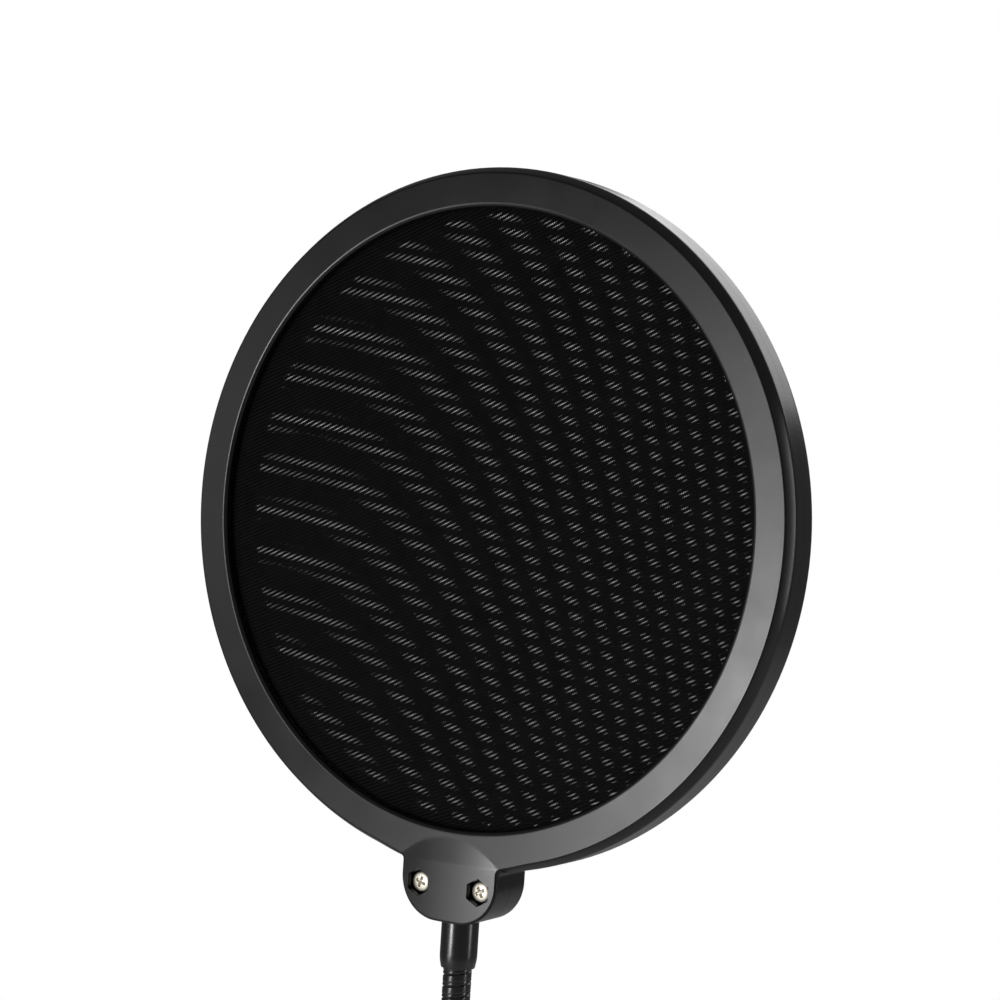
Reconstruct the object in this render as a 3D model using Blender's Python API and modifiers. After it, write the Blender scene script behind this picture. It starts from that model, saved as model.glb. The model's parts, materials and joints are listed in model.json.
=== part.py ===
"""Pop filter: a round two-screen head on a bendable steel neck, held by a screw clamp.

Metres, +Z up. The filter faces -Y. The origin is on the clamp's fixed jaw face, straight below the
neck, so everything from the jaw up has a positive Z and the screw and knob hang below it.
"""
import math

import bpy
import bmesh
from mathutils import Matrix

MM = 0.001
GAP = 0.3 * MM                    # clearance that touching pieces keep
COLLECTION = "pop_filter"

# Filter head; distances along Y are from the plane where the two ring halves meet
RING_R = 77.5 * MM                # largest radius, at the middle of the rim
RING_FACE_R = 76.2 * MM           # outer edge of the front face
LIP_R = 68.5 * MM                 # opening in both ring halves
HALF_DEPTH = 6.1 * MM             # each half, parting plane to face
CHANNEL_R = 74.3 * MM             # inside of the rim wall, where screens and spacer sit
SEAT_Y = 4.1 * MM                 # seat that the screens rest against
SCREEN_T = 0.4 * MM
SPACER_R = 70.2 * MM              # inner radius of the spacer hoop
RING_STEPS = 64

# Mounting tab at the foot of the ring
TAB_W = 25.0 * MM
TAB_DROP = 89.3 * MM              # ring centre to the tab's lower edge
TAB_CORNER = 9.5 * MM
TAB_FRONT = 5.8 * MM              # each face of the tab
TAB_TOP_R = 75.9 * MM             # the tab runs into the rim wall up to this radius
SCREW_X = 7.85 * MM
SCREW_RISE = 7.85 * MM             # screw centre above the tab's lower edge
SCREW_BORE_R = 1.45 * MM
PAN_R = 2.15 * MM                 # pan head of the tab screws
SHANK_R = 1.15 * MM
HEX_R = 2.95 * MM                 # hexagonal pockets, centre to corner
HEAD_POCKET = 2.3 * MM            # depth of the screw heads' pockets from the tab's face
NUT_POCKET = 3.4 * MM             # and of the nuts' pockets at the back
NUT_R = 2.7 * MM
NUT_T = 2.0 * MM

# Neck: short steel links that turn one after another about X and about Y
NECK_R = 3.2 * MM
NECK_BORE_R = 1.2 * MM
LINK_PITCH = 26.0 * MM
HINGES = 12
FIRST_HINGE_Z = 41.0 * MM
BALL_R = 2.75 * MM
CUP_R = 3.0 * MM
CUP_RIM = 1.2 * MM                # cup rim above the hinge
SHOULDER = 0.6 * MM               # ball shoulder below the hinge
NECK_STEPS = 12

# Ferrules at the neck's ends
FERRULE_R = 4.2 * MM
FERRULE_BORE_R = 3.5 * MM
FERRULE_H = 10.7 * MM
STEM_BORE_R = 2.6 * MM
STEM_R = 2.3 * MM
ANCHOR_R = 3.9 * MM
ANCHOR_FLANGE_R = 4.8 * MM

# Clamp
CLAMP_W = 22.0 * MM
ARM_TOP = 16.0 * MM
ARM_UNDER = 1.2 * MM
THROAT_DEPTH = 36.0 * MM
THROAT_FRONT = -20.0 * MM
SPINE_T = 9.0 * MM
LOWER_ARM_TOP = -44.0 * MM
LOWER_ARM_UNDER = -58.0 * MM
PAD_T = 2.0 * MM
PAD_W = 16.0 * MM
PAD_L = 26.0 * MM
PAD_Y = -2.0 * MM                 # pad centre, from the neck's axis
STUD_R = 3.0 * MM
LOCK_NUT_R = 5.7 * MM
BUSH_R = 6.0 * MM
BUSH_FLANGE_R = 8.0 * MM
BUSH_BORE_R = 4.35 * MM
SCREW_R = 3.9 * MM
JAW_GAP = 22.0 * MM               # between the pads as modelled
PLATE_R = 11.5 * MM
PLATE_T = 7.0 * MM
TIP_R = 4.4 * MM
TIP_NECK_R = 3.0 * MM
KNOB_TOP = -79.5 * MM
KNOB_H = 16.0 * MM
KNOB_R = 15.0 * MM
KNOB_LOBES = 8
KNOB_HEAD_R = 7.3 * MM            # hexagon head of the clamp screw, centre to corner
KNOB_HEAD_T = 5.0 * MM
CAP_R = 9.0 * MM

LAST_HINGE_Z = FIRST_HINGE_Z + (HINGES - 1) * LINK_PITCH
HEAD_FERRULE_Z = LAST_HINGE_Z + LINK_PITCH / 2
TAB_BOTTOM_Z = HEAD_FERRULE_Z + FERRULE_H
HEAD_Z = TAB_BOTTOM_Z + TAB_DROP


# ---------------------------------------------------------------- helpers
def clear_scene():
    for obj in list(bpy.data.objects):
        bpy.data.objects.remove(obj, do_unlink=True)


def make_material(name, colour, roughness, metallic):
    mat = bpy.data.materials.new(name)
    mat.use_nodes = True
    shader = mat.node_tree.nodes["Principled BSDF"]
    shader.inputs["Base Color"].default_value = (*colour, 1.0)
    shader.inputs["Roughness"].default_value = roughness
    shader.inputs["Metallic"].default_value = metallic
    return mat


def place(name, mesh, mat, location=(0, 0, 0), rotation=(0, 0, 0), parent=None):
    obj = bpy.data.objects.new(name, mesh)
    obj.location = location
    obj.rotation_euler = rotation
    if mat is not None:
        obj.data.materials.append(mat)
        bpy.data.collections[COLLECTION].objects.link(obj)
    else:
        obj.hide_render = True
        obj.display_type = "WIRE"
        bpy.data.collections["cutters"].objects.link(obj)
    if parent is not None:
        obj.parent = parent
    return obj


def pivot(name, location):
    empty = bpy.data.objects.new(name, None)
    empty.location = location
    bpy.data.collections[COLLECTION].objects.link(empty)
    return empty


def turned(name, profile, mat, steps, location=(0, 0, 0), rotation=(0, 0, 0), parent=None):
    """Turn a profile of (radius, z) about Z. A profile that stays off the axis is a closed loop."""
    count = len(profile)
    links = [(i, i + 1) for i in range(count - 1)]
    if profile[0][0] > 0 and profile[-1][0] > 0:
        links.append((count - 1, 0))
    mesh = bpy.data.meshes.new(name)
    mesh.from_pydata([(r, 0, z) for r, z in profile], links, [])
    obj = place(name, mesh, mat, location, rotation, parent)
    screw = obj.modifiers.new("Turn", "SCREW")
    screw.steps = steps
    screw.render_steps = steps
    screw.use_merge_vertices = True
    screw.merge_threshold = 0.00001
    return obj


def hex_prism(name, radius, low, high, mat, location=(0, 0, 0), rotation=(0, 0, 0), parent=None):
    """Hexagonal prism along local Z from low to high, one corner towards local Y."""
    mesh = bpy.data.meshes.new(name)
    shape = bmesh.new()
    bmesh.ops.create_cone(shape, cap_ends=True, segments=6, radius1=radius, radius2=radius,
                          depth=high - low, matrix=Matrix.Translation((0, 0, (low + high) / 2)))
    shape.to_mesh(mesh)
    shape.free()
    return place(name, mesh, mat, location, rotation, parent)


def box(name, low, high, mat, bevel=0.0):
    mesh = bpy.data.meshes.new(name)
    shape = bmesh.new()
    bmesh.ops.create_cube(shape, size=1.0)
    for vert in shape.verts:
        vert.co = [low[k] + (vert.co[k] + 0.5) * (high[k] - low[k]) for k in range(3)]
    shape.to_mesh(mesh)
    shape.free()
    obj = place(name, mesh, mat)
    if bevel > 0:
        add_bevel(obj, bevel)
    return obj


def slab(name, outline, low, high, mat, location=(0, 0, 0), rotation=(0, 0, 0), parent=None):
    """Flat outline in local X and Y, anticlockwise, raised along local Z from low to high."""
    mesh = bpy.data.meshes.new(name)
    shape = bmesh.new()
    face = shape.faces.new([shape.verts.new((x, y, low)) for x, y in outline])
    made = bmesh.ops.extrude_face_region(shape, geom=[face], use_keep_orig=True)
    for item in made["geom"]:
        if isinstance(item, bmesh.types.BMVert):
            item.co.z = high
    bmesh.ops.recalc_face_normals(shape, faces=shape.faces)
    shape.to_mesh(mesh)
    shape.free()
    return place(name, mesh, mat, location, rotation, parent)


def add_bevel(obj, width, segments=2, angle=50):
    bevel = obj.modifiers.new("Round", "BEVEL")
    bevel.width = width
    bevel.segments = segments
    bevel.limit_method = "ANGLE"
    bevel.angle_limit = math.radians(angle)


def combine(obj, other, operation):
    step = obj.modifiers.new(operation.title(), "BOOLEAN")
    step.operation = operation
    step.solver = "EXACT"
    step.object = other


def cylinder_cutter(name, radius, low, high, steps=24, location=(0, 0, 0), rotation=(0, 0, 0)):
    profile = [(0, high), (radius, high), (radius, low), (0, low)]
    return turned(name, profile, None, steps, location, rotation)


def arc(cx, cy, radius, start, end, count):
    """Points from angle start to angle end, in degrees, both ends included."""
    angles = [math.radians(start + (end - start) * i / count) for i in range(count + 1)]
    return [(cx + radius * math.cos(a), cy + radius * math.sin(a)) for a in angles]


# Turning parts whose axis runs front to back: local Z becomes world Y, local Y becomes world -Z
ALONG_Y = (-math.pi / 2, 0, 0)
HEAD_AT = (0, 0, HEAD_Z)


# ---------------------------------------------------------------- filter head
def ring_profile(side):
    """Half of the ring, side -1 in front and 1 behind: lip, face, rounded rim, channel and seat."""
    edge = RING_R - RING_FACE_R
    outline = [(CHANNEL_R, GAP / 2), (RING_R, GAP / 2), (RING_R, HALF_DEPTH - 2 * edge),
               (RING_R - 0.3 * edge, HALF_DEPTH - 0.8 * edge), (RING_FACE_R, HALF_DEPTH),
               (LIP_R + 1.3 * MM, HALF_DEPTH), (LIP_R + 0.4 * MM, HALF_DEPTH - 0.4 * MM),
               (LIP_R, HALF_DEPTH - 1.1 * MM), (LIP_R, SEAT_Y), (CHANNEL_R, SEAT_Y)]
    if side > 0:
        outline.reverse()
    return [(radius, side * y) for radius, y in outline]


def tab_outline():
    """Tab seen from the front: straight sides, round lower corners, top curved with the rim."""
    half = TAB_W / 2
    top = math.degrees(math.asin(half / TAB_TOP_R))
    corner_y = TAB_DROP - TAB_CORNER
    low = arc(half - TAB_CORNER, corner_y, TAB_CORNER, 0, 90, 6)
    low += arc(TAB_CORNER - half, corner_y, TAB_CORNER, 90, 180, 6)
    return low + arc(0, 0, TAB_TOP_R, 90 + top, 90 - top, 8)


def ring_half(name, profile, tab_low, tab_high, mat, parent, cutters):
    ring = turned(name, profile, mat, RING_STEPS, rotation=ALONG_Y, parent=parent)
    tab = slab(name + "_tab", tab_outline(), tab_low, tab_high, None, HEAD_AT, ALONG_Y)
    add_bevel(tab, 0.9 * MM)
    combine(ring, tab, "UNION")
    for cutter in cutters:
        combine(ring, cutter, "DIFFERENCE")
    return ring


def neck_channel():
    """Cutter for the anchor's seat between the two halves of the tab."""
    base = TAB_BOTTOM_Z
    wall = ANCHOR_R + GAP
    flange = ANCHOR_FLANGE_R + GAP
    profile = [(0, base + 14.4 * MM), (wall, base + 14.4 * MM), (wall, base + 8.9 * MM),
               (flange, base + 8.9 * MM), (flange, base + 5.7 * MM), (wall, base + 5.7 * MM),
               (wall, base - 2 * MM), (0, base - 2 * MM)]
    return turned("channel_cutter", profile, None, 24)


def screw_cutters(x, tag):
    """Bore through the tab with a hexagonal pocket in each face."""
    at = (x, 0, TAB_BOTTOM_Z + SCREW_RISE)
    far = TAB_FRONT + 2 * MM
    bore = cylinder_cutter("bore_" + tag, SCREW_BORE_R, -far, far, 16, at, ALONG_Y)
    front = hex_prism("front_pocket_" + tag, HEX_R, -far, HEAD_POCKET - TAB_FRONT, None, at, ALONG_Y)
    back = hex_prism("back_pocket_" + tag, HEX_R, TAB_FRONT - NUT_POCKET, far, None, at, ALONG_Y)
    return bore, front, back


def tab_fastener(x, tag, steel, parent):
    """Pan-head machine screw from the front and its nut in the back pocket."""
    at = (x, 0, SCREW_RISE - TAB_DROP)
    seat = HEAD_POCKET - TAB_FRONT
    nut_y = TAB_FRONT - NUT_POCKET + GAP
    profile = [(0, nut_y + NUT_T + 0.4 * MM), (SHANK_R, nut_y + NUT_T + 0.4 * MM),
               (SHANK_R, seat - GAP), (PAN_R, seat - GAP), (PAN_R, seat - 1.0 * MM),
               (PAN_R - 0.35 * MM, seat - 1.5 * MM), (1.0 * MM, seat - 1.75 * MM),
               (0, seat - 1.8 * MM)]
    turned("tab_screw_" + tag, profile, steel, 20, at, ALONG_Y, parent)
    nut = hex_prism("tab_nut_" + tag, NUT_R, nut_y, nut_y + NUT_T, steel, at, ALONG_Y, parent)
    hole = cylinder_cutter("nut_hole_" + tag, 1.5 * MM, 0, TAB_FRONT * 2, 16,
                           (x, 0, HEAD_Z + at[2]), ALONG_Y)
    combine(nut, hole, "DIFFERENCE")


def screen(name, side, mat, parent):
    """Flat disc of mesh against its seat; side is -1 at the front and 1 at the back."""
    near = SEAT_Y - GAP
    levels = sorted((side * near, side * (near - SCREEN_T)))
    radius = CHANNEL_R - 2 * GAP
    profile = [(0, levels[1]), (radius, levels[1]), (radius, levels[0]), (0, levels[0])]
    return turned(name, profile, mat, RING_STEPS, rotation=ALONG_Y, parent=parent)


def spacer_hoop(mat, parent):
    half = SEAT_Y - 2 * GAP - SCREEN_T
    outer = CHANNEL_R - GAP
    profile = [(SPACER_R, half), (outer, half), (outer, -half), (SPACER_R, -half)]
    return turned("screen_spacer", profile, mat, RING_STEPS, rotation=ALONG_Y, parent=parent)


def filter_head(mats):
    head = pivot("head_pivot", HEAD_AT)
    channel = neck_channel()
    left = screw_cutters(-SCREW_X, "left")
    right = screw_cutters(SCREW_X, "right")
    front_cuts = (channel, left[0], right[0], left[1], right[1])
    back_cuts = (channel, left[0], right[0], left[2], right[2])
    ring_half("front_ring", ring_profile(-1), -TAB_FRONT, -GAP / 2, mats["moulding"], head, front_cuts)
    ring_half("rear_ring", ring_profile(1), GAP / 2, TAB_FRONT, mats["moulding"], head, back_cuts)
    screen("front_screen", -1, mats["mesh"], head)
    screen("rear_screen", 1, mats["mesh"], head)
    spacer_hoop(mats["spacer"], head)
    for x, tag in ((-SCREW_X, "left"), (SCREW_X, "right")):
        tab_fastener(x, tag, mats["bright_steel"], head)
    return head


# ---------------------------------------------------------------- neck
def ball_end(z):
    """Ball at the top of a link, from the bore out to the shoulder; z is the hinge height."""
    start = math.degrees(math.acos(NECK_BORE_R / BALL_R))
    end = -math.degrees(math.asin(SHOULDER / BALL_R))
    return arc(0, z, BALL_R, start, end, 4) + [(NECK_R, z - SHOULDER)]


def cup_end(z):
    """Cup at the foot of a link, from its rim in to the bore; z is the hinge height."""
    start = math.degrees(math.asin(CUP_RIM / CUP_R))
    end = math.degrees(math.acos(NECK_BORE_R / CUP_R))
    return [(NECK_R, z + CUP_RIM)] + arc(0, z, CUP_R, start, end, 3)


def neck_links(mats):
    """Links between the hinges, each with its origin on its own lower hinge."""
    profile = ball_end(LINK_PITCH) + cup_end(0)
    for i in range(HINGES - 1):
        at = (0, 0, FIRST_HINGE_Z + i * LINK_PITCH)
        turned("neck_link_%02d" % (i + 1), profile, mats["black_steel"], NECK_STEPS, at)


def neck_ends(mats):
    """The neck's fixed ends: one in the clamp's ferrule, one in the head's."""
    foot = ARM_TOP + 4.3 * MM
    lower = ball_end(FIRST_HINGE_Z) + [(NECK_R, foot), (NECK_BORE_R, foot)]
    turned("neck_foot", lower, mats["black_steel"], NECK_STEPS)
    top = HEAD_FERRULE_Z + 4.5 * MM - LAST_HINGE_Z
    upper = [(NECK_BORE_R, top), (NECK_R, top)] + cup_end(0)
    turned("neck_top", upper, mats["black_steel"], NECK_STEPS, (0, 0, LAST_HINGE_Z))


def ferrules(mats):
    top = HEAD_FERRULE_Z + FERRULE_H - GAP
    web = HEAD_FERRULE_Z + 6.5 * MM
    upper = [(STEM_BORE_R, top), (FERRULE_R, top), (FERRULE_R, HEAD_FERRULE_Z + 0.8 * MM),
             (FERRULE_R - 0.4 * MM, HEAD_FERRULE_Z), (FERRULE_BORE_R, HEAD_FERRULE_Z),
             (FERRULE_BORE_R, web), (STEM_BORE_R, web)]
    turned("upper_ferrule", upper, mats["black_steel"], 24)
    base = ARM_TOP + GAP
    rim = base + 12 * MM
    floor = base + 3.7 * MM
    lower = [(FERRULE_BORE_R, rim), (FERRULE_R, rim), (FERRULE_R + 0.2 * MM, base + 4.0 * MM),
             (6.5 * MM, base + 2.2 * MM), (6.5 * MM, base), (STUD_R + GAP, base),
             (STUD_R + GAP, floor), (FERRULE_BORE_R, floor)]
    turned("lower_ferrule", lower, mats["black_steel"], 24)


def neck_anchor(mats):
    """Flanged stud that the two tab halves close on; its stem goes down into the ferrule."""
    base = TAB_BOTTOM_Z
    profile = [(0, base + 14.0 * MM), (ANCHOR_R, base + 14.0 * MM), (ANCHOR_R, base + 8.5 * MM),
               (ANCHOR_FLANGE_R, base + 8.5 * MM), (ANCHOR_FLANGE_R, base + 6.1 * MM),
               (ANCHOR_R, base + 6.1 * MM), (ANCHOR_R, base + 0.3 * MM), (STEM_R, base + 0.3 * MM),
               (STEM_R, base - 4.9 * MM), (0, base - 4.9 * MM)]
    turned("neck_anchor", profile, mats["bright_steel"], 24)


# ---------------------------------------------------------------- clamp
def clamp_outline():
    """C shape in Y and Z, open towards -Y, with round outer corners and a round throat."""
    front = THROAT_FRONT
    root = THROAT_FRONT + THROAT_DEPTH
    back = root + SPINE_T
    outer = 9 * MM
    inner = 4 * MM
    nose = 3 * MM
    points = arc(front + nose, ARM_UNDER + nose, nose, 270, 180, 3)
    points += arc(front + nose, ARM_TOP - nose, nose, 180, 90, 3)
    points += arc(back - outer, ARM_TOP - outer, outer, 90, 0, 6)
    points += arc(back - outer, LOWER_ARM_UNDER + outer, outer, 0, -90, 6)
    points += arc(front + 2 * nose, LOWER_ARM_UNDER + nose, nose, 270, 180, 3)
    points += arc(front + 2 * nose, LOWER_ARM_TOP - nose, nose, 180, 90, 3)
    points += arc(root - inner, LOWER_ARM_TOP + inner, inner, -90, 0, 4)
    points += arc(root - inner, ARM_UNDER - inner, inner, 0, 90, 4)
    return points


def clamp_body(mats):
    """Moulded C frame with seats for the pad, the lock nut, the stud and the threaded bush."""
    # local X, Y, Z of the slab become world Y, Z, X
    turn = (math.pi / 2, 0, math.pi / 2)
    half = CLAMP_W / 2
    body = slab("clamp_body", clamp_outline(), -half, half, mats["moulding"], rotation=turn)
    add_bevel(body, 1.2 * MM, 2, 60)
    wide = PAD_W / 2 + GAP
    long = PAD_L / 2 + GAP
    pad_seat = box("pad_seat", (-wide, PAD_Y - long, -PAD_T), (wide, PAD_Y + long, PAD_T + GAP), None)
    nut_seat = hex_prism("nut_seat", LOCK_NUT_R + 0.4 * MM, 0, 7.6 * MM, None)
    stud_bore = cylinder_cutter("stud_bore", STUD_R + GAP, 0, ARM_TOP + 2 * MM)
    bush_bore = cylinder_cutter("bush_bore", BUSH_R + GAP, LOWER_ARM_UNDER - 2 * MM,
                                LOWER_ARM_TOP + 2 * MM)
    flange_seat = cylinder_cutter("flange_seat", BUSH_FLANGE_R + GAP, LOWER_ARM_TOP - 2.3 * MM,
                                  LOWER_ARM_TOP + 2 * MM)
    for cutter in (pad_seat, nut_seat, stud_bore, bush_bore, flange_seat):
        combine(body, cutter, "DIFFERENCE")


def neck_stud(mats):
    """Stud through the clamp's upper arm and the nut that locks it, hidden by the jaw pad."""
    low = PAD_T + 2 * GAP
    high = ARM_TOP + 4.0 * MM
    profile = [(0, high), (STUD_R, high), (STUD_R, low), (0, low)]
    turned("neck_stud", profile, mats["bright_steel"], 20)
    nut = hex_prism("lock_nut", LOCK_NUT_R, low, 7.3 * MM, mats["bright_steel"])
    combine(nut, cylinder_cutter("lock_nut_hole", STUD_R + GAP, 0, 10 * MM), "DIFFERENCE")


def fixed_jaw_pad(mats):
    low = (-PAD_W / 2, PAD_Y - PAD_L / 2, 0)
    high = (PAD_W / 2, PAD_Y + PAD_L / 2, PAD_T)
    box("fixed_jaw_pad", low, high, mats["rubber"], 0.4 * MM)


def threaded_bush(mats):
    top = LOWER_ARM_TOP
    profile = [(BUSH_BORE_R, top - GAP), (BUSH_FLANGE_R, top - GAP), (BUSH_FLANGE_R, top - 2.0 * MM),
               (BUSH_R, top - 2.0 * MM), (BUSH_R, LOWER_ARM_UNDER + GAP),
               (BUSH_BORE_R, LOWER_ARM_UNDER + GAP)]
    turned("threaded_bush", profile, mats["bright_steel"], 24)


def moving_jaw(mats):
    """Pressure plate that swivels on the clamp screw's tip, with its rubber pad."""
    face = -JAW_GAP
    hub = pivot("plate_pivot", (0, 0, face))
    pad = [(0, 0), (PLATE_R - 1 * MM, 0), (PLATE_R - 0.6 * MM, -0.4 * MM), (PLATE_R - 0.6 * MM, -PAD_T),
           (0, -PAD_T)]
    turned("moving_jaw_pad", pad, mats["rubber"], 32, parent=hub)
    top = -PAD_T - GAP
    foot = top - PLATE_T
    cavity = TIP_R + GAP
    mouth = TIP_NECK_R + GAP
    plate = [(0, top), (PLATE_R, top), (PLATE_R, top - 2.0 * MM), (7.0 * MM, top - 3.2 * MM),
             (6.4 * MM, foot), (mouth, foot), (mouth, foot + 1.4 * MM), (cavity, foot + 1.4 * MM),
             (cavity, foot + 4.4 * MM), (0, foot + 4.4 * MM)]
    turned("pressure_plate", plate, mats["zinc"], 32, parent=hub)
    return foot + face


def clamp_screw(mats, plate_foot):
    """Screw with a swivel tip in the plate and a hexagon head in the knob."""
    hub = pivot("screw_pivot", (0, 0, plate_foot))
    head_top = KNOB_TOP - 1.5 * MM - plate_foot
    shank = [(0, 4.1 * MM), (TIP_R - 0.6 * MM, 4.1 * MM), (TIP_R, 3.4 * MM), (TIP_R, 1.7 * MM),
             (TIP_NECK_R, 1.7 * MM), (TIP_NECK_R, -1.2 * MM), (SCREW_R, -2.0 * MM),
             (SCREW_R, head_top - 1 * MM), (0, head_top - 1 * MM)]
    screw = turned("clamp_screw", shank, mats["bright_steel"], 24, parent=hub)
    head = hex_prism("screw_head", KNOB_HEAD_R, head_top - KNOB_HEAD_T, head_top, None,
                     (0, 0, plate_foot))
    combine(screw, head, "UNION")
    return head_top + plate_foot


def knob_outline():
    """Round grip whose edge rises and falls in even lobes."""
    count = KNOB_LOBES * 6
    wave = 1.1 * MM
    points = []
    for i in range(count):
        angle = 2 * math.pi * i / count
        radius = KNOB_R - wave * (1 - math.cos(KNOB_LOBES * angle)) / 2
        points.append((radius * math.cos(angle), radius * math.sin(angle)))
    return points


def clamp_knob(mats, head_top):
    """Lobed knob, hollow below for the screw's head and closed by a cap."""
    low = KNOB_TOP - KNOB_H
    knob = slab("clamp_knob", knob_outline(), low, KNOB_TOP, mats["moulding"])
    add_bevel(knob, 1.4 * MM, 2, 60)
    bore = cylinder_cutter("knob_bore", SCREW_R + GAP, low - 1 * MM, KNOB_TOP + 1 * MM)
    pocket = hex_prism("head_pocket", KNOB_HEAD_R + GAP, low - 1 * MM, head_top + GAP, None)
    cap_seat = cylinder_cutter("cap_seat", CAP_R + GAP, low - 1 * MM, low + 3.3 * MM, 32)
    for cutter in (bore, pocket, cap_seat):
        combine(knob, cutter, "DIFFERENCE")
    cap = [(0, low + 3.0 * MM), (CAP_R, low + 3.0 * MM), (CAP_R, low + 0.5 * MM),
           (CAP_R - 0.6 * MM, low), (0, low)]
    turned("knob_cap", cap, mats["moulding"], 32)


def main():
    clear_scene()
    for name in (COLLECTION, "cutters"):
        collection = bpy.data.collections.new(name)
        bpy.context.scene.collection.children.link(collection)
    mats = {
        "moulding": make_material("black_moulding", (0.030, 0.031, 0.034), 0.42, 0.0),
        "mesh": make_material("nylon_mesh", (0.012, 0.012, 0.014), 0.7, 0.0),
        "spacer": make_material("spacer_moulding", (0.020, 0.020, 0.022), 0.55, 0.0),
        "black_steel": make_material("black_steel", (0.020, 0.020, 0.022), 0.22, 0.6),
        "bright_steel": make_material("bright_steel", (0.60, 0.60, 0.60), 0.28, 1.0),
        "zinc": make_material("cast_zinc", (0.10, 0.10, 0.11), 0.4, 0.8),
        "rubber": make_material("jaw_rubber", (0.015, 0.015, 0.015), 0.85, 0.0),
    }
    filter_head(mats)
    neck_links(mats)
    neck_ends(mats)
    ferrules(mats)
    neck_anchor(mats)
    clamp_body(mats)
    neck_stud(mats)
    fixed_jaw_pad(mats)
    threaded_bush(mats)
    plate_foot = moving_jaw(mats)
    head_top = clamp_screw(mats, plate_foot)
    clamp_knob(mats, head_top)


main()
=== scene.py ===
"""Pop filter on a steel gooseneck with a screw clamp: finished surfaces, light and camera.

Metres, +Z up, the filter faces -Y. Every piece is a surface worked out on a grid of points: one axis
of the grid runs along a profile or a path, the other round it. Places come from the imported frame.
"""
import json
import math

import bmesh
import bpy
import numpy as np
from mathutils import Matrix, Vector


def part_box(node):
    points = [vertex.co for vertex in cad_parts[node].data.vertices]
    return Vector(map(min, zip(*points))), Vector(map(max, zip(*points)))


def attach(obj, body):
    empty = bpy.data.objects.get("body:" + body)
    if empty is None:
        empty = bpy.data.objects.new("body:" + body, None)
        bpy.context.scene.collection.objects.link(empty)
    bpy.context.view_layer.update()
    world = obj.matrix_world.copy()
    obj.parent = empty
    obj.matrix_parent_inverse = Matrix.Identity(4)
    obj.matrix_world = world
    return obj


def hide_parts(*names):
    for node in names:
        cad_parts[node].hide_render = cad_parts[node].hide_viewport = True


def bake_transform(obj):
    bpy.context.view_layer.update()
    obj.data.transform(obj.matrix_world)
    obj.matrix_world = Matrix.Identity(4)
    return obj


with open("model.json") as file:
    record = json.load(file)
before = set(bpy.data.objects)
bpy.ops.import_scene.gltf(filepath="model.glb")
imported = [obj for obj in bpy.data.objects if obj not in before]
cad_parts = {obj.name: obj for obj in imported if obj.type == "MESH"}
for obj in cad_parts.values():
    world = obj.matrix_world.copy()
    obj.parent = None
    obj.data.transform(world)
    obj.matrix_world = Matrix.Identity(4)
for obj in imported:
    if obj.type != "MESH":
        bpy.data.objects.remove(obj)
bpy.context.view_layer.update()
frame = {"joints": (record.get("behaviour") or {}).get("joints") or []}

MM = 0.001
TAU = 2 * math.pi
JOINTS = {joint["name"]: joint for joint in frame["joints"]}


def span(node, axis):
    """Lowest and highest coordinate of a CAD node along x, y or z."""
    low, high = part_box(node)
    return low["xyz".index(axis)], high["xyz".index(axis)]


# ------------------------------------------------------------------ measures
RING_R = span("front_ring", "x")[1]
HEAD_Z = span("front_ring", "z")[1] - RING_R
TAB_DROP = HEAD_Z - span("front_ring", "z")[0]      # ring centre to the tab's foot
HALF_DEPTH = 6.1 * MM                               # parting plane to the ring's face
PARTING = 0.03 * MM                                 # half of the gap between the ring halves
RIM_TAPER = (1.35 * MM, 2.4 * MM)                   # the rim's bevel: inwards, front to back
TAB_EDGE = (0.45 * MM, 0.45 * MM)                   # and the tab's small one
CROWN_RUN = 0.35 * MM                               # the rounding between bevel and face, along the face
WALL_RUN = 0.5 * MM                                 # and between rim wall and bevel, down the wall
LIP_R = 68.5 * MM
LIP_EDGE = (1.0 * MM, 1.0 * MM)
SEAT = 4.1 * MM                                     # parting plane to the screen's seat
CHANNEL_R = 74.3 * MM
TAB_HALF = span("tab_screw_right", "x")[1] + 2.5 * MM
TAB_CORNER = 9.5 * MM
TAB_FILLET = 1.2 * MM                               # where the tab's side meets the rim
SCREEN_R = span("front_screen", "x")[1]
BOLT_X = sum(span("tab_screw_right", "x")) / 2
BOLT_Z = sum(span("tab_screw_right", "z")) / 2
HEX_R = 2.95 * MM
NECK_R = 3.2 * MM
HINGES = [joint for name, joint in sorted(JOINTS.items()) if name.startswith("neck_bend")]
HINGE_Z = [joint["pos_m"][2] for joint in HINGES]
LINK = HINGE_Z[1] - HINGE_Z[0]
NECK_BORE = 1.2 * MM
TURN = 2.6 * MM                                     # one turn of the neck's winding
TAB_FOOT = HEAD_Z - TAB_DROP
ARCH_HALF = 12.9 * MM                               # half width of the arch over the tab, at its foot
ARCH_TOP = -70.4 * MM                               # the arch's crown, from the ring's centre
ARCH_DROP = 5.4 * MM                                # and how far down it would reach that half width
BARREL_RISE = 0.40 * MM                             # the tab's middle, proud of the rim's face
PULL_WAY = math.radians(22.5)                       # direction in which the rear cloth is pulled
PITCH = 1.25 * MM                                   # the clamp screw's thread
SAME = 1e-7                                         # points closer than this, in metres, are merged


# ------------------------------------------------------------------ meshes
def quads(rows, columns, wrap_rows, wrap_columns, first=0):
    """Corner numbers of the quads between a grid's points; a wrapped side joins last to first."""
    i = np.arange(rows if wrap_rows else rows - 1)[:, None]
    j = np.arange(columns if wrap_columns else columns - 1)[None, :]
    next_i, next_j = (i + 1) % rows, (j + 1) % columns
    corners = [i * columns + j, next_i * columns + j, next_i * columns + next_j, i * columns + next_j]
    return first + np.stack(np.broadcast_arrays(*corners), axis=-1).reshape(-1, 4)


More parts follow.
